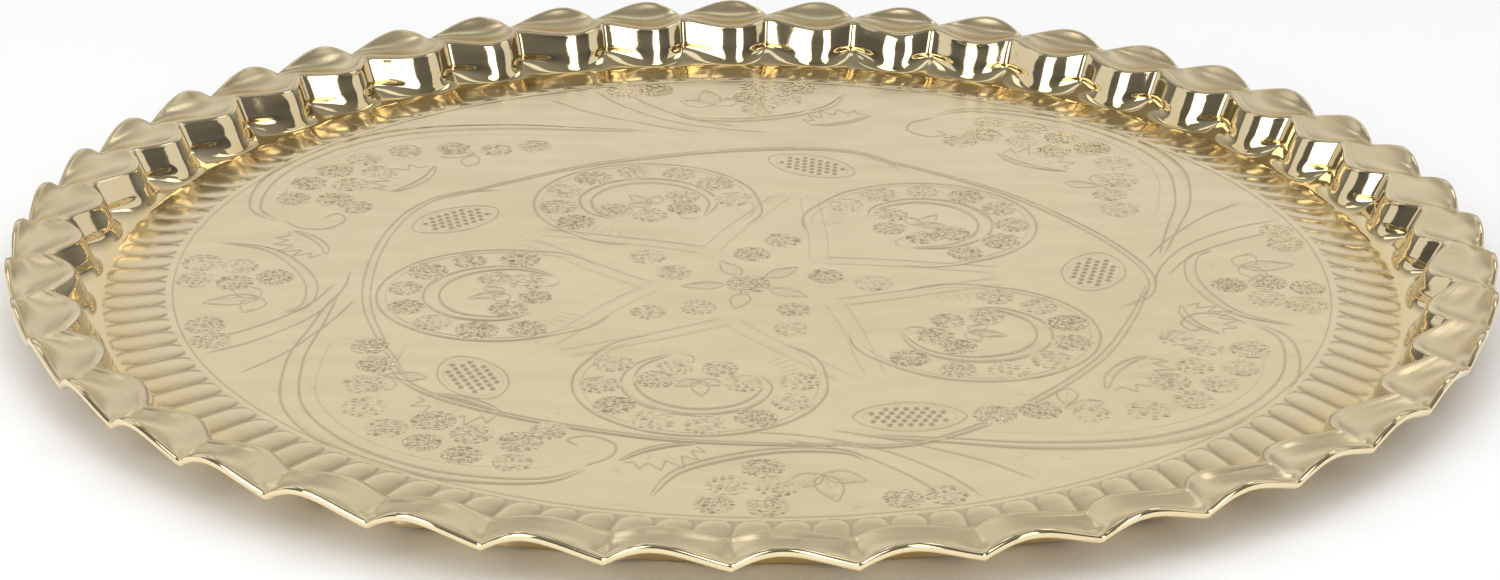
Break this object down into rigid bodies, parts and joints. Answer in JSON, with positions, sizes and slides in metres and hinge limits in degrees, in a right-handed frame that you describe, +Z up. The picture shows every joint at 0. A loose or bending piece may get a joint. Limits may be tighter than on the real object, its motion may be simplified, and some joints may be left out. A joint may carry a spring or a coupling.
{
  "type": "serving tray",
  "caption": "Large round metal serving tray with a flat floor, a gadrooned slope, a fluted upright wall and a scalloped, turned-out rim rolled over a stiffening wire.",
  "frame": {"origin": "middle of the tray, on the surface that it rests on", "axes": "+Z up, square to the floor; -Y towards the viewer; a groove of the wall lies on +X and on -Y"},
  "size_m": [0.606, 0.606, 0.0234],
  "materials": {
    "sheet_brass": "polished, finely scratched, with chased and stamped ornament on the floor",
    "wire_brass": "drawn wire, dull, hidden inside the rolled rim"
  },
  "bodies": {
    "root": {"tray_sheet": "sheet_brass", "rim_wire": "wire_brass"}
  },
  "joints": []
}
